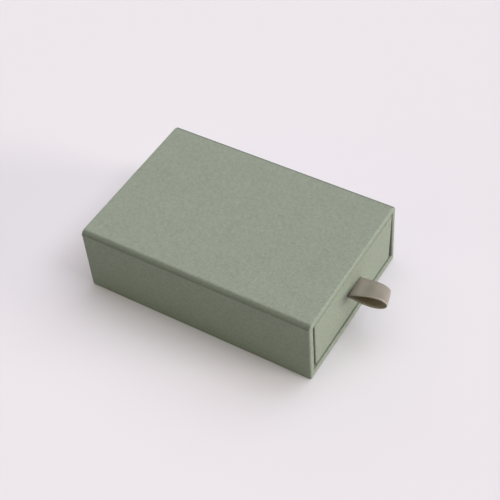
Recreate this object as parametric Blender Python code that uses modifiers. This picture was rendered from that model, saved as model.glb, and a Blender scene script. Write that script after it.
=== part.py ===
"""Sliding drawer gift box: greyboard panels wrapped in paper, a sleeve and a drawer with a ribbon pull.

Metres, +Z up. The origin is the centre of the sleeve's underside. The drawer leaves along +X.
"""

import math

import bmesh
import bpy

# Sleeve, outside: along the pull, across it, and standing height.
SLEEVE_LENGTH = 0.0969
SLEEVE_WIDTH = 0.0661
SLEEVE_HEIGHT = 0.0294

# Sheet and board thicknesses.
COVER_PAPER = 0.0002
LINING_PAPER = 0.0002
SLEEVE_BOARD = 0.0017
DRAWER_BOARD = 0.0014
FLOOR_CARD = 0.0005
RIBBON_THICKNESS = 0.00025

# Gaps: between glued faces, and between edges that meet.
GLUE_GAP = 0.00025
BUTT_GAP = 0.0003

# Each panel is trimmed this much short of the neighbour's plane that it is cut along.
PANEL_TRIM = 0.00002

# Sleeve wrap: soft long edges of the top, the crease below them, the other edges, the turned-in margin.
# The side walls lean in a little toward the top, whose full round edges stand back from the foot as far.
TOP_EDGE_ACROSS = 0.0026
TOP_EDGE_DOWN = 0.0020
TOP_SETBACK = 0.0001
SIDE_LEAN = 0.0001
BOTTOM_EDGE_ROUND = 0.0004
BACK_EDGE_ROUND = 0.0008
MOUTH_OUTER_ROUND = 0.0007
MOUTH_INNER_ROUND = 0.0005
INNER_CORNER_ROUND = 0.0003
SIDE_RECESS = 0.0001
CREASE_DEPTH = 0.00015
CREASE_REACH = 0.0006
TURN_IN = 0.012

# The far side wall is pinched thinner where it ends at the mouth: at its foot, at its head, and how deep.
LIP_PINCH_FOOT = 0.0011
LIP_PINCH_HEAD = 0.0003
LIP_REACH = 0.005

# How the drawer sits in the sleeve.
FLOOR_PLAY = 0.0007
CEILING_PLAY = 0.0003
SIDE_PLAY = 0.00065
BACK_PLAY = 0.0004
FRONT_PROUD = 0.0001
SIDE_SHIFT = 0.0002

# Drawer wrap. The side walls and the two end walls lean outward by this much from the base to the rim.
WALL_FLARE = 0.0008
END_FLARE = 0.0004
DRAWER_CORNER_ROUND = 0.0005
DRAWER_BASE_ROUND = 0.0014
RIM_OUTER_ROUND = 0.0004
RIM_INNER_ROUND = 0.0006
TURN_OVER = 0.006
FRONT_LINING_DROP = 0.0015

# Ribbon pull: its width, its place across the front, and the loop's two edges, which are unlike.
RIBBON_WIDTH = 0.010
RIBBON_LAYER_GAP = 0.0003
RIBBON_BEND = 0.0005
RIBBON_TAIL_CLEARANCE = 0.0005
PULL_OFFSET = -0.0004
PULL_LIFT = 0.0024
SLIT_CLEARANCE = 0.0003
LOOP_REACH_NEAR = 0.0156
LOOP_REACH_FAR = 0.0127
LOOP_OPENING_NEAR = 0.0048
LOOP_OPENING_FAR = 0.0035
LOOP_RISE_NEAR = 0.0040
LOOP_RISE_FAR = 0.0009
LOOP_FULLNESS_NEAR = 1.0
LOOP_FULLNESS_FAR = 1.7
LOOP_SWING = -0.0010

# Facets on rounded forms.
EDGE_STEPS = 4
CROWN_STEPS = 6
CREASE_STEPS = 4
SIDE_STEPS = 6
LOOP_STEPS = 36
BEND_STEPS = 4
SMALLEST_ROUND = 0.00005
CUT_OVERRUN = 0.002

# Worked out from the sizes above.
SLEEVE_SKIN = COVER_PAPER + GLUE_GAP
SLEEVE_WALL = SLEEVE_SKIN + SLEEVE_BOARD + SLEEVE_SKIN
DRAWER_SKIN = COVER_PAPER + GLUE_GAP
DRAWER_WALL = DRAWER_SKIN + DRAWER_BOARD + DRAWER_SKIN
SLEEVE_SIDE = SLEEVE_WIDTH / 2 - SIDE_RECESS
CAVITY_HALF_WIDTH = SLEEVE_SIDE - SLEEVE_WALL
CAVITY_HEIGHT = SLEEVE_HEIGHT - 2 * SLEEVE_WALL
BACK_X = -SLEEVE_LENGTH / 2
MOUTH_X = SLEEVE_LENGTH / 2
DRAWER_HEIGHT = CAVITY_HEIGHT - FLOOR_PLAY - CEILING_PLAY
DRAWER_HALF_WIDTH = CAVITY_HALF_WIDTH - SIDE_PLAY - WALL_FLARE
DRAWER_BACK_X = BACK_X + SLEEVE_WALL + BACK_PLAY + END_FLARE
DRAWER_FRONT_X = MOUTH_X + FRONT_PROUD - END_FLARE
DRAWER_HALF_LENGTH = (DRAWER_FRONT_X - DRAWER_BACK_X) / 2
DRAWER_PLACE = (DRAWER_BACK_X + DRAWER_HALF_LENGTH, SIDE_SHIFT, SLEEVE_WALL + FLOOR_PLAY)
DRAWER_FLOOR = DRAWER_SKIN + DRAWER_BOARD
DRAWER_FLAP_EDGE = DRAWER_HEIGHT - TURN_OVER
RIBBON_LAYER = RIBBON_THICKNESS + RIBBON_LAYER_GAP
SLIT_HEIGHT = RIBBON_LAYER + RIBBON_THICKNESS + 2 * SLIT_CLEARANCE
PULL_HEIGHT = DRAWER_HEIGHT / 2 + PULL_LIFT
FRONT_LINING_INSET = DRAWER_FLOOR + GLUE_GAP + RIBBON_THICKNESS + GLUE_GAP


def mix(start, end, share):
    return start + (end - start) * share


def arc(centre, radius, start, end, steps):
    """Points along an arc in a plane, between two angles in degrees."""
    turns = [math.radians(mix(start, end, step / steps)) for step in range(steps + 1)]
    return [(centre[0] + radius * math.cos(t), centre[1] + radius * math.sin(t)) for t in turns]


def clear_scene():
    for thing in list(bpy.data.objects):
        bpy.data.objects.remove(thing, do_unlink=True)


def make_collection(name):
    collection = bpy.data.collections.new(name)
    bpy.context.scene.collection.children.link(collection)
    return collection


def make_material(name, colour, roughness):
    material = bpy.data.materials.new(name)
    material.use_nodes = True
    shader = material.node_tree.nodes["Principled BSDF"]
    shader.inputs["Base Color"].default_value = (*colour, 1.0)
    shader.inputs["Roughness"].default_value = roughness
    shader.inputs["Metallic"].default_value = 0.0
    return material


def make_empty(name, place, collection):
    empty = bpy.data.objects.new(name, None)
    empty.location = place
    collection.objects.link(empty)
    return empty


def make_object(name, bm, material, parent, collection):
    mesh = bpy.data.meshes.new(name)
    bm.to_mesh(mesh)
    bm.free()
    mesh.materials.append(material)
    piece = bpy.data.objects.new(name, mesh)
    piece.parent = parent
    collection.objects.link(piece)
    return piece


def as_cutter(piece):
    piece.hide_render = True
    piece.display_type = "WIRE"
    return piece


def box(low, high, shape=None):
    """A box between two corners, its corner points passed through shape where one is given."""
    bm = bmesh.new()
    bmesh.ops.create_cube(bm, size=1)
    for vert in bm.verts:
        vert.co = [mix(low[i], high[i], vert.co[i] + 1 / 2) for i in range(3)]
        if shape:
            vert.co = shape(vert.co)
    return bm


def loft(rings, close_start, close_end):
    """A skin over rings of equally many points, with flat ends where they are asked for."""
    bm = bmesh.new()
    rows = [[bm.verts.new(point) for point in ring] for ring in rings]
    for lower, upper in zip(rows, rows[1:]):
        for i, vert in enumerate(lower):
            j = (i + 1) % len(lower)
            bm.faces.new((vert, lower[j], upper[j], upper[i]))
    if close_start:
        bm.faces.new(list(reversed(rows[0])))
    if close_end:
        bm.faces.new(rows[-1])
    return bm


def cup_path(depth, wall, rounds, skin, stop):
    """Inset and distance along a cup's wall: out of its closed end, up the outside, over the rim and in."""
    base, outer, inner = (max(radius - skin, SMALLEST_ROUND) for radius in rounds)
    path = []
    for cos, sin in arc((0, 0), 1, 0, 90, EDGE_STEPS):
        path.append((skin + base * (1 - sin), skin + base * (1 - cos)))
    for cos, sin in arc((0, 0), 1, 0, 90, EDGE_STEPS):
        path.append((skin + outer * (1 - cos), depth - skin - outer * (1 - sin)))
    for cos, sin in arc((0, 0), 1, 0, 90, EDGE_STEPS):
        path.append((wall - skin - inner * (1 - sin), depth - skin - inner * (1 - cos)))
    path.append((wall - skin, stop))
    return path


def sleeve_section(inset, along):
    """The sleeve's outline across the pull, at a depth into its wall and a distance from its closed end.

    The skin keeps the outer form at an even distance. From the board inward it fades to the plain cavity,
    which opens toward the far side at the mouth.
    """
    skin = min(inset, SLEEVE_SKIN)
    share = (inset - skin) / (SLEEVE_WALL - SLEEVE_SKIN)
    side = SLEEVE_SIDE - inset
    shoulder = side - SIDE_LEAN * (1 - share)
    band = mix(SLEEVE_WIDTH / 2 - TOP_SETBACK - skin, CAVITY_HALF_WIDTH, share)
    high = SLEEVE_HEIGHT - inset
    foot = mix(max(BOTTOM_EDGE_ROUND - skin, SMALLEST_ROUND), INNER_CORNER_ROUND, share)
    across = mix(TOP_EDGE_ACROSS - skin, INNER_CORNER_ROUND, share)
    down = mix(TOP_EDGE_DOWN - skin, INNER_CORNER_ROUND, share)
    reach = mix(CREASE_REACH, INNER_CORNER_ROUND, share)
    middle = high - down - reach
    half = arc((side - foot, inset + foot), foot, -90, 0, EDGE_STEPS)
    for step in range(1, SIDE_STEPS):
        rise = step / SIDE_STEPS
        half.append((mix(side, shoulder, rise), mix(inset + foot, middle - reach, rise)))
    for step in range(CREASE_STEPS + 1):
        rise = step / CREASE_STEPS
        dip = CREASE_DEPTH * (1 - share) * math.sin(math.pi * rise) ** 2
        half.append((mix(shoulder, band, rise) - dip, middle + reach * (2 * rise - 1)))
    for cos, sin in arc((0, 0), 1, 0, 90, CROWN_STEPS)[1:]:
        half.append((band - across * (1 - cos), high - down * (1 - sin)))
    pinched = min(1, (inset - skin) / SLEEVE_BOARD) * max(0, 1 - (SLEEVE_LENGTH - along) / LIP_REACH)
    far = [(y + pinched * mix(LIP_PINCH_FOOT, LIP_PINCH_HEAD, z / SLEEVE_HEIGHT), z) for y, z in half]
    return far + [(-y, z) for y, z in reversed(half)]


def sleeve_rings(path):
    return [[(BACK_X + along, y, z) for y, z in sleeve_section(inset, along)] for inset, along in path]


def sleeve_path(skin, stop):
    rounds = (BACK_EDGE_ROUND, MOUTH_OUTER_ROUND, MOUTH_INNER_ROUND)
    path = cup_path(SLEEVE_LENGTH, SLEEVE_WALL, rounds, skin, stop)
    path.insert(-1, (SLEEVE_WALL - skin, SLEEVE_LENGTH - LIP_REACH))
    return path


def flared(point):
    """A point of the upright drawer moved to where its flared walls carry it."""
    share = point[2] / DRAWER_HEIGHT
    return (
        point[0] * (1 + END_FLARE * share / DRAWER_HALF_LENGTH),
        point[1] * (1 + WALL_FLARE * share / DRAWER_HALF_WIDTH),
        point[2],
    )


def drawer_section(inset):
    """The drawer's outline seen from above, at a depth into its wall."""
    x = DRAWER_HALF_LENGTH - inset
    y = DRAWER_HALF_WIDTH - inset
    corner = mix(DRAWER_CORNER_ROUND, INNER_CORNER_ROUND, inset / DRAWER_WALL)
    quarter = arc((x - corner, y - corner), corner, 0, 90, EDGE_STEPS)
    right = [(a, -b) for a, b in reversed(quarter)] + quarter
    return right + [(-a, -b) for a, b in right]


def drawer_rings(path):
    return [[flared((x, y, along)) for x, y in drawer_section(inset)] for inset, along in path]


def drawer_path(skin, stop):
    rounds = (DRAWER_BASE_ROUND, RIM_OUTER_ROUND, RIM_INNER_ROUND)
    return cup_path(DRAWER_HEIGHT, DRAWER_WALL, rounds, skin, stop)


def thicken(piece, thickness):
    """Gives a sheet its thickness, away from the side that shows."""
    modifier = piece.modifiers.new("thickness", "SOLIDIFY")
    modifier.thickness = thickness
    modifier.offset = -1
    modifier.use_even_offset = True
    return piece


def boolean(piece, other, operation):
    modifier = piece.modifiers.new("cut", "BOOLEAN")
    modifier.operation = operation
    modifier.solver = "EXACT"
    modifier.object = other


class Workshop:
    """The collections, materials and parents that the pieces share."""

    def __init__(self):
        self.parts = make_collection("sliding_drawer_gift_box")
        self.cutters = make_collection("cutters")
        self.paper = make_material("sage_cover_paper", (0.36, 0.40, 0.30), 0.85)
        self.lining = make_material("sage_lining_paper", (0.34, 0.38, 0.29), 0.88)
        self.board = make_material("greyboard", (0.30, 0.28, 0.25), 0.95)
        self.ribbon = make_material("taupe_ribbon", (0.27, 0.23, 0.19), 0.5)
        self.sleeve = make_empty("sleeve", (0, 0, 0), self.parts)
        self.drawer = make_empty("drawer_slide", DRAWER_PLACE, self.parts)

    def panels(self, core_rings, parent, boxes, shape=None):
        """Greyboard panels: each is a box that takes its outer faces and rounded edges from one core."""
        core = make_object("core", loft(core_rings, True, True), self.board, parent, self.cutters)
        as_cutter(core)
        made = {}
        for name, low, high in boxes:
            panel = make_object(name, box(low, high, shape), self.board, parent, self.parts)
            boolean(panel, core, "INTERSECT")
            made[name] = panel
        return made


def make_sleeve_boards(shop):
    inner_side = CAVITY_HALF_WIDTH + SLEEVE_SKIN
    inner_low = SLEEVE_SKIN + SLEEVE_BOARD
    inner_high = SLEEVE_HEIGHT - inner_low
    inner_back = BACK_X + inner_low
    before = BACK_X - CUT_OVERRUN
    beyond = MOUTH_X + CUT_OVERRUN
    outside = SLEEVE_WIDTH / 2 + CUT_OVERRUN
    above = SLEEVE_HEIGHT + CUT_OVERRUN
    between = inner_side - BUTT_GAP
    boxes = [
        ("sleeve_top_board", (before, -outside, inner_high + PANEL_TRIM), (beyond, outside, above)),
        (
            "sleeve_bottom_board",
            (before, -between, -CUT_OVERRUN),
            (beyond, between, inner_low - PANEL_TRIM),
        ),
        (
            "sleeve_near_side_board",
            (before, -outside, -CUT_OVERRUN),
            (beyond, -inner_side - PANEL_TRIM, inner_high - BUTT_GAP),
        ),
        (
            "sleeve_far_side_board",
            (before, inner_side + PANEL_TRIM, -CUT_OVERRUN),
            (beyond, outside, inner_high - BUTT_GAP),
        ),
        (
            "sleeve_back_board",
            (before, -between, inner_low + BUTT_GAP),
            (inner_back - PANEL_TRIM, between, inner_high - BUTT_GAP),
        ),
    ]
    core = sleeve_rings(sleeve_path(SLEEVE_SKIN, inner_low))
    shop.panels(core, shop.sleeve, boxes)


def make_sleeve_papers(shop):
    cover = loft(sleeve_rings(sleeve_path(0, SLEEVE_LENGTH - TURN_IN)), True, False)
    thicken(make_object("sleeve_cover_paper", cover, shop.paper, shop.sleeve, shop.parts), COVER_PAPER)
    inner_face = SLEEVE_WALL - COVER_PAPER + LINING_PAPER
    panel_back = SLEEVE_SKIN + SLEEVE_BOARD + GLUE_GAP
    ends = [(inner_face, SLEEVE_LENGTH - TURN_IN - BUTT_GAP), (inner_face, panel_back)]
    lining = loft(sleeve_rings(ends), False, False)
    thicken(make_object("sleeve_lining", lining, shop.lining, shop.sleeve, shop.parts), LINING_PAPER)
    edge = inner_face + BUTT_GAP
    low = (BACK_X + panel_back, -SLEEVE_SIDE + edge, edge)
    high = (BACK_X + panel_back + LINING_PAPER, SLEEVE_SIDE - edge, SLEEVE_HEIGHT - edge)
    make_object("sleeve_back_lining", box(low, high), shop.lining, shop.sleeve, shop.parts)


def make_slit_cutter(shop):
    """The slot through the drawer's front that both layers of the ribbon pass."""
    half_width = RIBBON_WIDTH / 2 + SLIT_CLEARANCE
    low = (
        DRAWER_HALF_LENGTH - DRAWER_WALL - CUT_OVERRUN,
        PULL_OFFSET - half_width,
        PULL_HEIGHT - SLIT_HEIGHT / 2,
    )
    high = (
        DRAWER_HALF_LENGTH + END_FLARE + CUT_OVERRUN,
        PULL_OFFSET + half_width,
        PULL_HEIGHT + SLIT_HEIGHT / 2,
    )
    return as_cutter(make_object("slit", box(low, high), shop.paper, shop.drawer, shop.cutters))


def make_drawer_boards(shop, slit):
    x = DRAWER_HALF_LENGTH - DRAWER_FLOOR
    y = DRAWER_HALF_WIDTH - DRAWER_FLOOR
    far_x = DRAWER_HALF_LENGTH + CUT_OVERRUN
    far_y = DRAWER_HALF_WIDTH + CUT_OVERRUN
    under = 0
    above = DRAWER_HEIGHT + CUT_OVERRUN
    between_x = x - BUTT_GAP
    between_y = y - BUTT_GAP
    base_top = DRAWER_FLOOR - PANEL_TRIM
    boxes = [
        ("drawer_base_board", (-between_x, -between_y, under), (between_x, between_y, base_top)),
        ("drawer_front_board", (x + PANEL_TRIM, -far_y, under), (far_x, far_y, above)),
        ("drawer_back_board", (-far_x, -far_y, under), (-x - PANEL_TRIM, far_y, above)),
        ("drawer_near_side_board", (-between_x, -far_y, under), (between_x, -y - PANEL_TRIM, above)),
        ("drawer_far_side_board", (-between_x, y + PANEL_TRIM, under), (between_x, far_y, above)),
    ]
    core = drawer_rings(drawer_path(DRAWER_SKIN, DRAWER_FLOOR))
    boards = shop.panels(core, shop.drawer, boxes, flared)
    boolean(boards["drawer_front_board"], slit, "DIFFERENCE")


def make_drawer_papers(shop, slit):
    cover_bm = loft(drawer_rings(drawer_path(0, DRAWER_FLAP_EDGE)), True, False)
    cover = make_object("drawer_cover_paper", cover_bm, shop.paper, shop.drawer, shop.parts)
    thicken(cover, COVER_PAPER)
    boolean(cover, slit, "DIFFERENCE")

    inner_face = DRAWER_WALL - COVER_PAPER + LINING_PAPER
    floor_top = DRAWER_FLOOR + GLUE_GAP
    x = DRAWER_HALF_LENGTH - inner_face
    y = DRAWER_HALF_WIDTH - inner_face
    front_x = DRAWER_HALF_LENGTH - FRONT_LINING_INSET - LINING_PAPER
    lining_top = DRAWER_FLAP_EDGE - BUTT_GAP
    path = [(front_x - BUTT_GAP, y), (-x, y), (-x, -y), (front_x - BUTT_GAP, -y)]
    bm = bmesh.new()
    low = [bm.verts.new(flared((a, b, floor_top))) for a, b in path]
    high = [bm.verts.new(flared((a, b, lining_top))) for a, b in path]
    for i in range(len(path) - 1):
        bm.faces.new((low[i], low[i + 1], high[i + 1], high[i]))
    bmesh.ops.reverse_faces(bm, faces=bm.faces[:])
    thicken(make_object("drawer_wall_lining", bm, shop.lining, shop.drawer, shop.parts), LINING_PAPER)

    panel_y = y - BUTT_GAP
    panel_low = (front_x, -panel_y, floor_top)
    panel_high = (front_x + LINING_PAPER, panel_y, DRAWER_HEIGHT - FRONT_LINING_DROP)
    panel = box(panel_low, panel_high, flared)
    make_object("drawer_front_lining", panel, shop.lining, shop.drawer, shop.parts)

    card_low = (-x + BUTT_GAP, -panel_y, floor_top)
    card_high = (front_x - BUTT_GAP, panel_y, floor_top + FLOOR_CARD)
    card = box(card_low, card_high, flared)
    make_object("drawer_floor_card", card, shop.lining, shop.drawer, shop.parts)


def ribbon_tail(direction):
    """One glued end, from its cut edge to the slit: direction is 1 for the one that runs up, -1 for down."""
    layer = PULL_HEIGHT + direction * RIBBON_LAYER / 2
    if direction > 0:
        end = DRAWER_FLAP_EDGE - RIBBON_TAIL_CLEARANCE
    else:
        end = DRAWER_FLOOR + GLUE_GAP + RIBBON_TAIL_CLEARANCE
    inset = DRAWER_FLOOR + GLUE_GAP + RIBBON_THICKNESS / 2
    turn_height = layer + direction * RIBBON_BEND
    plane = DRAWER_HALF_LENGTH - inset
    points = [flared((plane, 0, end))[::2], flared((plane, 0, turn_height))[::2]]
    foot = points[-1][0] + RIBBON_BEND
    bend = arc((foot, turn_height), RIBBON_BEND, 180, 180 + direction * 90, BEND_STEPS)
    return points[:1] + bend


def teardrop(turn, fullness):
    """How far the loop stands open, as a share of its widest, at a turn from the slit round and back."""
    swell = math.sin(turn) * math.sin(turn / 2) ** fullness
    widest = 2 * ((fullness + 1) / (fullness + 2)) ** ((fullness + 1) / 2) / math.sqrt(fullness + 2)
    return swell / widest


def ribbon_stations():
    """The ribbon's run from one glued end to the other: its near edge, its far edge and its middle."""
    root = flared((DRAWER_HALF_LENGTH, 0, PULL_HEIGHT))[0] + COVER_PAPER
    stations = [((x, z), (x, z), PULL_OFFSET) for x, z in ribbon_tail(1)]
    for step in range(LOOP_STEPS + 1):
        turn = 2 * math.pi * step / LOOP_STEPS
        out = (1 - math.cos(turn)) / 2
        near_open = LOOP_OPENING_NEAR / 2 * teardrop(turn, LOOP_FULLNESS_NEAR)
        far_open = LOOP_OPENING_FAR / 2 * teardrop(turn, LOOP_FULLNESS_FAR)
        layer = PULL_HEIGHT + RIBBON_LAYER / 2 * math.cos(turn / 2)
        near = (root + LOOP_REACH_NEAR * out, layer + LOOP_RISE_NEAR * out + near_open)
        far = (root + LOOP_REACH_FAR * out, layer + LOOP_RISE_FAR * out + far_open)
        stations.append((near, far, PULL_OFFSET + LOOP_SWING * out))
    stations += [((x, z), (x, z), PULL_OFFSET) for x, z in reversed(ribbon_tail(-1))]
    return stations


def make_ribbon(shop):
    bm = bmesh.new()
    rows = []
    for near, far, middle in ribbon_stations():
        spread = RIBBON_WIDTH**2 - (near[0] - far[0]) ** 2 - (near[1] - far[1]) ** 2
        half = math.sqrt(spread) / 2
        rows.append(
            (
                bm.verts.new((near[0], middle - half, near[1])),
                bm.verts.new((far[0], middle + half, far[1])),
            )
        )
    for first, second in zip(rows, rows[1:]):
        bm.faces.new((first[0], second[0], second[1], first[1]))
    ribbon = make_object("pull_ribbon", bm, shop.ribbon, shop.drawer, shop.parts)
    thicken(ribbon, RIBBON_THICKNESS).modifiers["thickness"].offset = 0


def main():
    clear_scene()
    shop = Workshop()
    make_sleeve_boards(shop)
    make_sleeve_papers(shop)
    slit = make_slit_cutter(shop)
    make_drawer_boards(shop, slit)
    make_drawer_papers(shop, slit)
    make_ribbon(shop)


main()
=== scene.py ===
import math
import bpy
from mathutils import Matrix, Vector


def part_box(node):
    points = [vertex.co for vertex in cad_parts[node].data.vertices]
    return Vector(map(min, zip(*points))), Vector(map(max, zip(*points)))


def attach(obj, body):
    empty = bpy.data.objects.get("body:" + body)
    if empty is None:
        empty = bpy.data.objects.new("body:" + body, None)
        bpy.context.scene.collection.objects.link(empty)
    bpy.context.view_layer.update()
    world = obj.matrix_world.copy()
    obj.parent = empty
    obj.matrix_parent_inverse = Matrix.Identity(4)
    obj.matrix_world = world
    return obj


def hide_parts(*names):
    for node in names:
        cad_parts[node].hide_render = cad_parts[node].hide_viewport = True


bl_info = {
    "name": "Sliding Drawer Gift Box",
    "version": (1, 0, 0),
    "blender": (4, 5, 0),
    "location": "View3D > Sidebar > Gift Box",
    "description": "Dresses a drawer box with linen-grained paper and a ribbon pull",
    "category": "Object",
}

import bmesh
import bpy
from bpy.props import FloatProperty, FloatVectorProperty, IntProperty, PointerProperty
from bpy.types import Operator, Panel, PropertyGroup
from mathutils import Quaternion, Vector

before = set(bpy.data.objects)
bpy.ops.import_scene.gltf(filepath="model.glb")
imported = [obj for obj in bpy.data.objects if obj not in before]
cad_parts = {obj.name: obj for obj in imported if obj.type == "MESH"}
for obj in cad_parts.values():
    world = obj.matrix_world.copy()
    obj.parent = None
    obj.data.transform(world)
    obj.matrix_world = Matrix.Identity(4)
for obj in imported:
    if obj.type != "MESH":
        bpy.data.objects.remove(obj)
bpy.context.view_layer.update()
MM = 0.001

# Where most values of one noise lie, and of the sum of the three that make the grain.
NOISE_RANGE = (0.3, 0.7)
GRAIN_RANGE = (1.1, 1.9)
# Where the painted shade on the rolls over the long top edges begins and is full: the sideways
# share of a surface's normal times its upward share.
PAINTED_SHADE_RANGE = (0.10, 0.36)

# For a smooth copy of a solid: the distance at which two corners are one, the angle under which
# two faces are one flat, the angle over which an edge is sharp, and how strongly large faces set
# the shading of the corners that they share with small ones.
SAME_CORNER = 0.001 * MM
SAME_FLAT = math.radians(0.5)
SHARP_EDGE = math.radians(50)
LARGE_FACE_WEIGHT = 100

# The soft lights: turn from the drawer's way out, height above the floor and the angle that each
# fills, all in degrees, then energy and colour.
SOFT_LIGHTS = {
    "softbox": (68, 50, 50, 1.36, (0.87, 0.90, 0.975)),
    "key": (5, 52, 22, 0.68, (0.87, 0.90, 0.975)),
    "window": (15, 9, 24, 2.50, (0.97, 0.93, 0.77)),
    "far_fill": (150, 45, 70, 0.85, (0.95, 0.87, 0.95)),
    "near_fill": (245, 28, 60, 0.39, (0.95, 1.0, 0.50)),
    "overhead": (0, 80, 70, 1.20, (1.0, 0.98, 0.86)),
}


class PaperSettings(PropertyGroup):
    """The sage paper that covers and lines the box, and the greyboard under it."""

    cover_colour: FloatVectorProperty(
        name="Cover colour",
        description="Colour of the outer paper",
        subtype="COLOR",
        default=(0.243, 0.273, 0.225),
    )
    lining_colour: FloatVectorProperty(
        name="Lining colour",
        description="Colour of the paper inside the sleeve and the drawer",
        subtype="COLOR",
        default=(0.237, 0.267, 0.219),
    )
    board_colour: FloatVectorProperty(
        name="Greyboard colour",
        description="Colour of the raw board where it shows between papers",
        subtype="COLOR",
        default=(0.30, 0.28, 0.25),
    )
    thread_pitch: FloatProperty(
        name="Thread pitch",
        description="Distance between the embossed threads of the linen grain",
        unit="LENGTH",
        default=0.58 * MM,
    )
    thread_run: FloatProperty(
        name="Thread run",
        description="How far a thread keeps its thickness",
        unit="LENGTH",
        default=1.5 * MM,
    )
    mottle_size: FloatProperty(
        name="Mottle size",
        description="Size of the faint clouds in the dye",
        unit="LENGTH",
        default=14.0 * MM,
    )
    mottle_contrast: FloatProperty(
        name="Mottle contrast",
        description="How much the dye's level changes from cloud to cloud",
        subtype="FACTOR",
        default=0.03,
    )
    grain_depth: FloatProperty(
        name="Grain depth",
        description="Height of the embossed grain",
        unit="LENGTH",
        default=0.03 * MM,
    )
    grain_contrast: FloatProperty(
        name="Grain contrast",
        description="How much darker the dye lies between the threads",
        subtype="FACTOR",
        default=0.23,
    )
    # Painted shade: the wrap's colour is darkened on its rolls over the long top edges, where
    # less light falls.
    painted_fold_shade: FloatProperty(
        name="Fold shade",
        description="How much darker the wrap is where it is rolled over the long top edges",
        subtype="FACTOR",
        default=0.35,
    )
    roughness: FloatProperty(
        name="Roughness",
        description="Roughness of the paper's coating",
        subtype="FACTOR",
        default=0.78,
    )
    gloss: FloatProperty(
        name="Gloss",
        description="Specular level of the paper's coating",
        subtype="FACTOR",
        default=0.3,
    )
    fleck_levels: FloatVectorProperty(
        name="Fleck levels",
        description="Level of the board's darkest and lightest flecks",
        size=2,
        default=(0.8, 1.15),
    )
    board_roughness: FloatProperty(
        name="Board roughness",
        description="Roughness of the raw board",
        subtype="FACTOR",
        default=0.95,
    )


class RibbonSettings(PropertyGroup):
    """The satin ribbon loop and its glued ends. It keeps the sizes of the solid it stands for."""

    colour: FloatVectorProperty(
        name="Ribbon colour",
        description="Colour of the ribbon",
        subtype="COLOR",
        default=(0.435, 0.395, 0.350),
    )
    glow_colour: FloatVectorProperty(
        name="Glow colour",
        description="Colour of the light that comes through the weave",
        subtype="COLOR",
        default=(0.60, 0.53, 0.35),
    )
    translucency: FloatProperty(
        name="Translucency",
        description="Share of the light that the weave lets through",
        subtype="FACTOR",
        default=0.25,
    )
    width: FloatProperty(
        name="Width", description="Width of the ribbon", unit="LENGTH", default=10.0 * MM
    )
    thickness: FloatProperty(
        name="Thickness", description="Thickness of the ribbon", unit="LENGTH", default=0.25 * MM
    )
    layer_gap: FloatProperty(
        name="Layer gap",
        description="Gap between the two layers where they pass the slit",
        unit="LENGTH",
        default=0.3 * MM,
    )
    bend: FloatProperty(
        name="Bend",
        description="Radius of the turn behind the slit",
        unit="LENGTH",
        default=0.5 * MM,
    )
    reach: FloatVectorProperty(
        name="Reach",
        description="How far the loop's near and far edge stand out of the front",
        size=2,
        unit="LENGTH",
        default=(15.6 * MM, 12.7 * MM),
    )
    opening: FloatVectorProperty(
        name="Opening",
        description="How far apart the layers stand at the near and the far edge",
        size=2,
        unit="LENGTH",
        default=(4.8 * MM, 3.5 * MM),
    )
    rise: FloatVectorProperty(
        name="Rise",
        description="How far the tip lies above the slit at the near and the far edge",
        size=2,
        unit="LENGTH",
        default=(4.0 * MM, 0.9 * MM),
    )
    fullness: FloatVectorProperty(
        name="Fullness",
        description="How late the layers part at the near and the far edge",
        size=2,
        default=(1.0, 1.7),
    )
    swing: FloatProperty(
        name="Swing",
        description="How far the tip is pushed sideways",
        unit="LENGTH",
        default=-1.0 * MM,
    )
    offset: FloatProperty(
        name="Offset",
        description="The slit's place to the side of the drawer's middle",
        unit="LENGTH",
        default=-0.4 * MM,
    )
    lift: FloatProperty(
        name="Lift",
        description="The slit's place above the drawer's middle",
        unit="LENGTH",
        default=2.4 * MM,
    )
    lean: FloatProperty(
        name="Lean",
        description="Slope of the drawer's front that the glued ends lie against",
        default=0.0172,
    )
    short_of_lining: FloatProperty(
        name="Short of lining",
        description="From the upper cut end to the upper edge of the wall lining",
        unit="LENGTH",
        default=0.2 * MM,
    )
    cup: FloatProperty(
        name="Cup",
        description="How far the ribbon's middle bows out between its two edges at the bend",
        unit="LENGTH",
        default=0.15 * MM,
    )
    dent: FloatProperty(
        name="Dent",
        description="How deep the upper layer is pressed in between its edges, near the slit",
        unit="LENGTH",
        default=0.9 * MM,
    )
    dent_place: FloatVectorProperty(
        name="Dent's place",
        description="Middle and half width of the dent, as shares of the upper layer's turn",
        size=2,
        default=(0.39, 0.12),
    )
    rib_pitch: FloatProperty(
        name="Rib pitch",
        description="Distance between the fine cross ribs of the weave",
        unit="LENGTH",
        default=0.45 * MM,
    )
    rib_height: FloatProperty(
        name="Rib height",
        description="Height of the cross ribs at the selvedges",
        unit="LENGTH",
        default=0.04 * MM,
    )
    rib_levels: FloatVectorProperty(
        name="Rib levels",
        description="Level of the yarn between two ribs and on a rib",
        size=2,
        default=(0.86, 1.10),
    )
    face_ribs: FloatProperty(
        name="Face ribs",
        description="Height of the ribs on the smooth face, as a share of the selvedge's",
        subtype="FACTOR",
        default=0.15,
    )
    selvedge: FloatVectorProperty(
        name="Selvedge",
        description="Where the selvedge begins and is full: shares of the width, from the middle",
        size=2,
        default=(0.40, 0.48),
    )
    roughness: FloatProperty(
        name="Roughness", description="Roughness of the satin", subtype="FACTOR", default=0.4
    )
    metallic: FloatProperty(
        name="Lustre",
        description="Share of the light that the satin gives back as a tinted highlight",
        subtype="FACTOR",
        default=0.35,
    )
    anisotropic: FloatProperty(
        name="Drawn highlight",
        description="How far the highlight is drawn out along the yarn",
        subtype="FACTOR",
        default=0.5,
    )
    loop_steps: IntProperty(
        name="Loop steps", description="Segments round the loop", default=72
    )
    tail_steps: IntProperty(
        name="Tail steps", description="Segments of a glued end, and of its bend", default=8
    )
    across_steps: IntProperty(
        name="Steps across", description="Segments across the ribbon", default=8
    )


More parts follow.
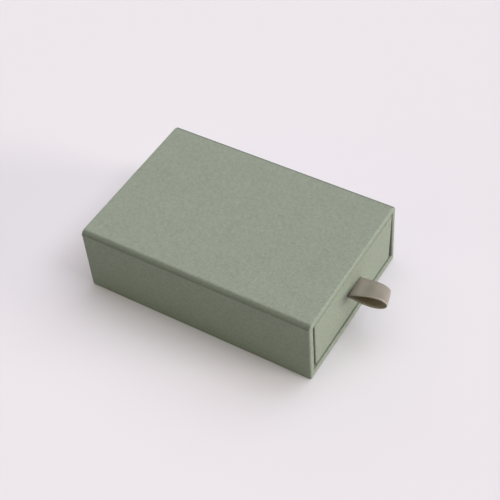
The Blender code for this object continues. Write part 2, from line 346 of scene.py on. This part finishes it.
class StageSettings(PropertyGroup):
    """The floor, the light and the camera."""

    floor_colour: FloatVectorProperty(
        name="Floor colour",
        description="Colour of the paper sweep that the box stands on",
        subtype="COLOR",
        default=(0.723, 0.689, 0.749),
    )
    floor_size: FloatProperty(
        name="Floor size", description="Side of the floor", unit="LENGTH", default=6.0
    )
    floor_roughness: FloatProperty(
        name="Floor roughness",
        description="Roughness of the paper sweep",
        subtype="FACTOR",
        default=0.9,
    )
    floor_gloss: FloatProperty(
        name="Floor gloss",
        description="Specular level of the paper sweep",
        subtype="FACTOR",
        default=0.1,
    )
    floor_gap: FloatProperty(
        name="Floor gap",
        description="From the box's underside down to the floor",
        unit="LENGTH",
        default=0.01 * MM,
    )
    camera_azimuth: FloatProperty(
        name="Camera azimuth",
        description="Turn of the camera round the box, from straight in front of the long side",
        subtype="ANGLE",
        default=math.radians(34.797),
    )
    camera_elevation: FloatProperty(
        name="Camera elevation",
        description="Angle of the camera above the floor",
        subtype="ANGLE",
        default=math.radians(47.960),
    )
    camera_roll: FloatProperty(
        name="Camera roll",
        description="Turn of the picture about the view's axis",
        subtype="ANGLE",
        default=math.radians(-5.273),
    )
    camera_distance: FloatProperty(
        name="Camera distance",
        description="From the camera to the point that it aims at",
        unit="LENGTH",
        default=467.65 * MM,
    )
    camera_aim: FloatVectorProperty(
        name="Camera aim",
        description="The point on the floor in the middle of the picture",
        subtype="XYZ",
        unit="LENGTH",
        default=(-2.800 * MM, 10.268 * MM, 0.0),
    )
    camera_lens: FloatProperty(
        name="Lens", description="Focal length", unit="CAMERA", default=85.523
    )
    camera_sensor: FloatProperty(
        name="Sensor", description="Width of the camera's sensor", unit="CAMERA", default=36
    )
    camera_near: FloatProperty(
        name="Near clip",
        description="Nearest distance that the camera shows",
        unit="LENGTH",
        default=10 * MM,
    )
    camera_shift: FloatVectorProperty(
        name="Shift",
        description="Half a pixel of shift, which centres the picture as the photograph's is",
        size=2,
        precision=4,
        default=(-0.001, 0.001),
    )


def mix(start, end, share):
    return start + (end - start) * share


def around_one(contrast):
    """The lowest and the highest level of a pattern round 1 that has this contrast."""
    return 1 - contrast / 2, 1 + contrast / 2


def direction(turn, height):
    """The unit vector at an angle of turn from +X and an angle of height above the floor."""
    level = math.cos(height)
    return Vector((math.cos(turn) * level, math.sin(turn) * level, math.sin(height)))


def add_object(name, data):
    piece = bpy.data.objects.new(name, data)
    bpy.context.scene.collection.objects.link(piece)
    return piece


def add_mesh(name, bm):
    """A mesh object from a bmesh, which is freed."""
    mesh = bpy.data.meshes.new(name)
    bm.to_mesh(mesh)
    bm.free()
    return add_object(name, mesh)


def feed(tree, socket, value):
    """Gives an input a plain value, or links another node's output to it."""
    if isinstance(value, bpy.types.NodeSocket):
        tree.links.new(value, socket)
    else:
        socket.default_value = value


def feed_all(tree, node, inputs):
    """Feeds a node's inputs by their names, in which _ can stand for a space."""
    for name, value in inputs.items():
        feed(tree, node.inputs[name.replace("_", " ")], value)


def add_node(tree, kind, settings=None, **inputs):
    node = tree.nodes.new(kind)
    for name, value in (settings or {}).items():
        setattr(node, name, value)
    feed_all(tree, node, inputs)
    return node


def calculate(tree, operation, *values):
    """A Math node's result for one or two values."""
    node = add_node(tree, "ShaderNodeMath", {"operation": operation})
    for socket, value in zip(node.inputs, values):
        feed(tree, socket, value)
    return node.outputs["Value"]


def remap(tree, value, start, end, kind="LINEAR"):
    """Carries a value from the range start to the range end, and holds it inside that."""
    node = add_node(
        tree,
        "ShaderNodeMapRange",
        {"interpolation_type": kind},
        Value=value,
        From_Min=start[0],
        From_Max=start[1],
        To_Min=end[0],
        To_Max=end[1],
    )
    return node.outputs["Result"]


def noise(tree, place, scale, detail, roughness):
    """A cloudy pattern at a place given by a vector: its level, mostly inside NOISE_RANGE."""
    node = add_node(
        tree,
        "ShaderNodeTexNoise",
        Vector=place,
        Scale=scale,
        Detail=detail,
        Roughness=roughness,
    )
    return node.outputs["Fac"]


def new_material(name):
    material = bpy.data.materials.new(name)
    material.use_nodes = True
    tree = material.node_tree
    tree.nodes.clear()
    output = add_node(tree, "ShaderNodeOutputMaterial")
    shader = add_node(tree, "ShaderNodeBsdfPrincipled")
    tree.links.new(shader.outputs["BSDF"], output.inputs["Surface"])
    return material, tree, shader


def tint(tree, shader, colour, level):
    """Gives a shader a colour times a pattern's level."""
    tinted = add_node(tree, "ShaderNodeVectorMath", {"operation": "SCALE"}, Scale=level)
    tinted.inputs[0].default_value = colour
    tree.links.new(tinted.outputs["Vector"], shader.inputs["Base Color"])


def emboss(tree, shader, height, depth, strength):
    """Shades a surface as if a pattern stood out from it by its height times the depth."""
    bump = add_node(tree, "ShaderNodeBump", Strength=strength, Distance=depth, Height=height)
    tree.links.new(bump.outputs["Normal"], shader.inputs["Normal"])


def dress(piece, material):
    piece.data.materials.clear()
    piece.data.materials.append(material)


def threads(tree, place, pitch, run, axis):
    """Noise drawn out along one axis, which reads as threads that run that way."""
    scale = [1 / pitch] * 3
    scale[axis] = 1 / run
    stretched = add_node(tree, "ShaderNodeMapping", Vector=place, Scale=scale)
    return noise(tree, stretched.outputs["Vector"], scale=1.0, detail=1.5, roughness=0.55)


def paint_fold_shade(tree, shade):
    """Painted shade's level: darker where the surface turns from the top down to a long side."""
    facing = add_node(tree, "ShaderNodeTexCoord").outputs["Normal"]
    split = add_node(tree, "ShaderNodeSeparateXYZ", Vector=facing)
    sideways = calculate(tree, "ABSOLUTE", split.outputs["Y"])
    turn = calculate(tree, "MULTIPLY", sideways, split.outputs["Z"])
    return remap(tree, turn, PAINTED_SHADE_RANGE, (1.0, 1 - shade), "SMOOTHSTEP")


def paper_material(name, colour):
    """Matt dyed paper with a fine linen emboss, faint clouds in the dye and darker hollows."""
    paper = bpy.context.scene.gift_box_paper
    material, tree, shader = new_material(name)
    place = add_node(tree, "ShaderNodeTexCoord").outputs["Object"]
    grain = 0.0
    for axis in range(3):
        layer = threads(tree, place, paper.thread_pitch, paper.thread_run, axis)
        grain = calculate(tree, "ADD", grain, layer)
    clouds = noise(tree, place, 1 / paper.mottle_size, detail=3.0, roughness=0.5)
    level = calculate(
        tree,
        "MULTIPLY",
        remap(tree, grain, GRAIN_RANGE, around_one(paper.grain_contrast)),
        remap(tree, clouds, NOISE_RANGE, around_one(paper.mottle_contrast)),
    )
    # Painted shade on the rolls over the long top edges.
    level = calculate(tree, "MULTIPLY", level, paint_fold_shade(tree, paper.painted_fold_shade))
    tint(tree, shader, colour, level)
    emboss(tree, shader, grain, paper.grain_depth, strength=0.6)
    finish = {"Roughness": paper.roughness, "Specular IOR Level": paper.gloss}
    feed_all(tree, shader, finish)
    return material


def board_material():
    """Raw greyboard: flecked recycled pulp."""
    paper = bpy.context.scene.gift_box_paper
    material, tree, shader = new_material("greyboard_pulp")
    place = add_node(tree, "ShaderNodeTexCoord").outputs["Object"]
    flecks = noise(tree, place, 1 / paper.thread_pitch, detail=4.0, roughness=0.7)
    tone = remap(tree, flecks, NOISE_RANGE, paper.fleck_levels)
    tint(tree, shader, paper.board_colour, tone)
    emboss(tree, shader, flecks, paper.grain_depth, strength=0.4)
    feed_all(tree, shader, {"Roughness": paper.board_roughness})
    return material


def ribbon_material():
    """Satin: a smooth warp face with fine cross ribs that show most at the two selvedges."""
    ribbon = bpy.context.scene.gift_box_ribbon
    material, tree, shader = new_material("taupe_satin")
    flat = add_node(tree, "ShaderNodeUVMap", {"uv_map": "UVMap"})
    split = add_node(tree, "ShaderNodeSeparateXYZ", Vector=flat.outputs["UV"])
    along = calculate(tree, "MULTIPLY", split.outputs["X"], 2 * math.pi / ribbon.rib_pitch)
    from_middle = calculate(tree, "ABSOLUTE", split.outputs["Y"])
    selvedge = [ribbon.width * share for share in ribbon.selvedge]
    rib_share = remap(tree, from_middle, selvedge, (ribbon.face_ribs, 1.0))
    ribs = calculate(tree, "MULTIPLY", calculate(tree, "SINE", along), rib_share)
    level = remap(tree, ribs, (-1.0, 1.0), ribbon.rib_levels)
    tint(tree, shader, ribbon.colour, level)
    emboss(tree, shader, ribs, ribbon.rib_height, strength=0.5)
    finish = {
        "Roughness": ribbon.roughness,
        "Metallic": ribbon.metallic,
        "Anisotropic": ribbon.anisotropic,
    }
    feed_all(tree, shader, finish)
    glow = add_node(tree, "ShaderNodeBsdfTranslucent", Color=(*ribbon.glow_colour, 1.0))
    through = add_node(tree, "ShaderNodeMixShader", Fac=ribbon.translucency)
    tree.links.new(shader.outputs["BSDF"], through.inputs[1])
    tree.links.new(glow.outputs["BSDF"], through.inputs[2])
    output = tree.get_output_node("ALL")
    tree.links.new(through.outputs["Shader"], output.inputs["Surface"])
    return material


def fine_copy(node, name, body, material):
    """A smooth piece for a solid of the frame: its mesh is merged and its flats stay flat."""
    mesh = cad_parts[node].data.copy()
    mesh.name = name
    bm = bmesh.new()
    bm.from_mesh(mesh)
    bmesh.ops.remove_doubles(bm, verts=bm.verts, dist=SAME_CORNER)
    bmesh.ops.dissolve_limit(bm, angle_limit=SAME_FLAT, verts=bm.verts, edges=bm.edges)
    bm.to_mesh(mesh)
    bm.free()
    piece = add_object(name, mesh)
    mesh.shade_smooth()
    mesh.set_sharp_from_angle(angle=SHARP_EDGE)
    weighted = piece.modifiers.new("flat faces", "WEIGHTED_NORMAL")
    weighted.keep_sharp = True
    weighted.weight = LARGE_FACE_WEIGHT
    dress(piece, material)
    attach(piece, body)
    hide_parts(node)


class GIFTBOX_OT_boards(Operator):
    """Gives the greyboard panels their pulp"""

    bl_idname = "gift_box.boards"
    bl_label = "Greyboard panels"

    def execute(self, context):
        material = board_material()
        for name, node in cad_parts.items():
            if name.endswith("_board"):
                dress(node, material)
        return {"FINISHED"}


class GIFTBOX_OT_wraps(Operator):
    """Covers the sleeve and the drawer with the linen-grained paper"""

    bl_idname = "gift_box.wraps"
    bl_label = "Cover papers"

    def execute(self, context):
        material = paper_material("sage_linen_paper", context.scene.gift_box_paper.cover_colour)
        fine_copy("sleeve_cover_paper", "sleeve_wrap", "sleeve", material)
        fine_copy("drawer_cover_paper", "drawer_wrap", "drawer", material)
        return {"FINISHED"}


class GIFTBOX_OT_linings(Operator):
    """Lines the sleeve and the drawer"""

    bl_idname = "gift_box.linings"
    bl_label = "Linings"

    def execute(self, context):
        material = paper_material("sage_lining_paper", context.scene.gift_box_paper.lining_colour)
        for name in (
            "sleeve_lining",
            "sleeve_back_lining",
            "drawer_wall_lining",
            "drawer_front_lining",
            "drawer_floor_card",
        ):
            dress(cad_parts[name], material)
        return {"FINISHED"}


def arc(centre, radius, start, end, steps):
    """Points along an arc, between two angles in degrees."""
    turns = [math.radians(mix(start, end, step / steps)) for step in range(steps + 1)]
    return [(centre[0] + radius * math.cos(t), centre[1] + radius * math.sin(t)) for t in turns]


def teardrop(turn, fullness):
    """How far the loop stands open, as a share of its widest, at a turn round from the slit."""
    swell = math.sin(turn) * math.sin(turn / 2) ** fullness
    # The swell is widest where the square of sin(turn / 2) is this share.
    share = (fullness + 1) / (fullness + 2)
    widest = 2 * share ** ((fullness + 1) / 2) / math.sqrt(fullness + 2)
    return swell / widest


def tail(ribbon, back, slit, way):
    """One glued end from its cut edge to the slit: its way is 1 for up and -1 for down."""
    steps = ribbon.tail_steps
    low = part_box("pull_ribbon")[0]
    layer = slit.z + way * (ribbon.thickness + ribbon.layer_gap) / 2
    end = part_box("drawer_wall_lining")[1].z - ribbon.short_of_lining if way > 0 else low.z
    turn_height = layer + way * ribbon.bend
    bend = arc((back + ribbon.bend, turn_height), ribbon.bend, 180, 180 + way * 90, steps)
    straight = [(back, mix(end, turn_height, step / steps)) for step in range(steps)]
    leaning = [(x + ribbon.lean * (z - low.z), z) for x, z in straight + bend]
    return [((x, z), (x, z), slit.y, 0.0, 0.0) for x, z in leaning]


def ribbon_run(ribbon, back, slit):
    """The run from one glued end to the other: near edge, far edge, middle, bow and dent."""
    dent_middle, dent_width = ribbon.dent_place
    run = tail(ribbon, back, slit, 1)
    for step in range(ribbon.loop_steps + 1):
        turn = 2 * math.pi * step / ribbon.loop_steps
        out = (1 - math.cos(turn)) / 2
        layer = slit.z + (ribbon.thickness + ribbon.layer_gap) / 2 * math.cos(turn / 2)
        edges = []
        for side in range(2):
            swell = ribbon.opening[side] / 2 * teardrop(turn, ribbon.fullness[side])
            height = layer + ribbon.rise[side] * out + swell
            edges.append((slit.x + ribbon.reach[side] * out, height))
        dent = ribbon.dent * math.exp(-(((turn / math.pi - dent_middle) / dent_width) ** 2))
        run.append((*edges, slit.y + ribbon.swing * out, ribbon.cup * out**4, dent))
    return run + list(reversed(tail(ribbon, back, slit, -1)))


def lengths_along(run):
    """How far each step of the run lies from its start, as the mean of the two edges."""
    lengths = [0.0]
    for first, second in zip(run, run[1:]):
        step = [math.dist(first[side], second[side]) for side in range(2)]
        lengths.append(lengths[-1] + sum(step) / 2)
    return lengths


def ribbon_grid(ribbon, run, lengths):
    """The sheet along the run. Its UVs are the flat sheet's measures in metres."""
    bm = bmesh.new()
    sheet_uv = bm.loops.layers.uv.new("UVMap")
    last = len(run) - 1
    bmesh.ops.create_grid(bm, x_segments=last, y_segments=ribbon.across_steps, size=1.0)
    flat = {}
    for vert in bm.verts:
        station = round((vert.co.x + 1) / 2 * last)
        share = (vert.co.y + 1) / 2
        near, far, middle, bow, dent = run[station]
        spread = ribbon.width**2 - math.dist(near, far) ** 2
        half = math.sqrt(spread) / 2
        inward = 1 - (2 * share - 1) ** 2
        flat[vert] = (lengths[station], (share - 0.5) * ribbon.width)
        vert.co = (
            mix(near[0], far[0], share) + bow * inward,
            middle + mix(-half, half, share),
            mix(near[1], far[1], share) - dent * inward,
        )
    for face in bm.faces:
        face.smooth = True
        for corner in face.loops:
            corner[sheet_uv].uv = flat[corner.vert]
    bmesh.ops.recalc_face_normals(bm, faces=bm.faces)
    return bm


class GIFTBOX_OT_ribbon(Operator):
    """Folds the ribbon to a loop that leaves the front through the slit"""

    bl_idname = "gift_box.ribbon"
    bl_label = "Ribbon pull"

    def execute(self, context):
        ribbon = context.scene.gift_box_ribbon
        low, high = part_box("pull_ribbon")
        wrap_low, wrap_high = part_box("drawer_cover_paper")
        slit = (wrap_low + wrap_high) / 2
        slit.x = high.x - ribbon.reach[0] - ribbon.thickness / 2
        slit.y += ribbon.offset
        slit.z += ribbon.lift
        run = ribbon_run(ribbon, low.x + ribbon.thickness / 2, slit)
        lengths = lengths_along(run)
        loop = add_mesh("ribbon_loop", ribbon_grid(ribbon, run, lengths))
        solid = loop.modifiers.new("thickness", "SOLIDIFY")
        solid.thickness = ribbon.thickness
        solid.offset = 0
        dress(loop, ribbon_material())
        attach(loop, "drawer")
        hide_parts("pull_ribbon")
        return {"FINISHED"}


def lay_floor(stage):
    bm = bmesh.new()
    bmesh.ops.create_grid(bm, x_segments=1, y_segments=1, size=stage.floor_size / 2)
    floor = add_mesh("floor", bm)
    floor.location.z = -stage.floor_gap
    material, tree, shader = new_material("pale_sweep")
    finish = {
        "Base Color": (*stage.floor_colour, 1.0),
        "Roughness": stage.floor_roughness,
        "Specular IOR Level": stage.floor_gloss,
    }
    feed_all(tree, shader, finish)
    dress(floor, material)


def set_lights(scene):
    """The soft lights, and no light from all round."""
    for name, (azimuth, elevation, spread, energy, colour) in SOFT_LIGHTS.items():
        light = bpy.data.lights.new(name, "SUN")
        light.energy = energy
        light.color = colour
        light.angle = math.radians(spread)
        toward = direction(math.radians(azimuth), math.radians(elevation))
        lamp = add_object(name, light)
        lamp.rotation_euler = toward.to_track_quat("Z", "Y").to_euler()
    scene.world = bpy.data.worlds.new("studio")
    scene.world.use_nodes = True
    scene.world.node_tree.nodes["Background"].inputs["Strength"].default_value = 0.0


def set_camera(scene, stage):
    camera = bpy.data.cameras.new("camera")
    camera.lens = stage.camera_lens
    camera.sensor_width = stage.camera_sensor
    camera.shift_x, camera.shift_y = stage.camera_shift
    camera.clip_start = stage.camera_near
    camera.clip_end = 2 * stage.floor_size
    back = direction(stage.camera_azimuth - math.radians(90), stage.camera_elevation)
    roll = Quaternion((0, 0, 1), stage.camera_roll)
    eye = add_object("camera", camera)
    eye.location = Vector(stage.camera_aim) + back * stage.camera_distance
    eye.rotation_mode = "QUATERNION"
    eye.rotation_quaternion = (-back).to_track_quat("-Z", "Y") @ roll
    scene.camera = eye


class GIFTBOX_OT_stage(Operator):
    """Sets the floor, the soft light and the camera"""

    bl_idname = "gift_box.stage"
    bl_label = "Stage"

    def execute(self, context):
        stage = context.scene.gift_box_stage
        context.scene.view_settings.view_transform = "Standard"
        lay_floor(stage)
        set_lights(context.scene)
        set_camera(context.scene, stage)
        return {"FINISHED"}


class GIFTBOX_PT_panel(Panel):
    """One button for each piece or group, and one for the stage"""

    bl_idname = "GIFTBOX_PT_panel"
    bl_label = "Gift Box"
    bl_space_type = "VIEW_3D"
    bl_region_type = "UI"
    bl_category = "Gift Box"

    def draw(self, context):
        for operator in OPERATORS:
            self.layout.operator(operator.bl_idname)


OPERATORS = (
    GIFTBOX_OT_boards,
    GIFTBOX_OT_wraps,
    GIFTBOX_OT_linings,
    GIFTBOX_OT_ribbon,
    GIFTBOX_OT_stage,
)
GROUPS = {
    "gift_box_paper": PaperSettings,
    "gift_box_ribbon": RibbonSettings,
    "gift_box_stage": StageSettings,
}


def register():
    for name, group in GROUPS.items():
        bpy.utils.register_class(group)
        setattr(bpy.types.Scene, name, PointerProperty(type=group))
    for cls in (*OPERATORS, GIFTBOX_PT_panel):
        bpy.utils.register_class(cls)


def unregister():
    for cls in (GIFTBOX_PT_panel, *reversed(OPERATORS)):
        bpy.utils.unregister_class(cls)
    for name, group in reversed(GROUPS.items()):
        delattr(bpy.types.Scene, name)
        bpy.utils.unregister_class(group)


def main():
    register()
    bpy.ops.gift_box.boards()
    bpy.ops.gift_box.wraps()
    bpy.ops.gift_box.linings()
    bpy.ops.gift_box.ribbon()
    bpy.ops.gift_box.stage()


if __name__ == "__main__":
    main()
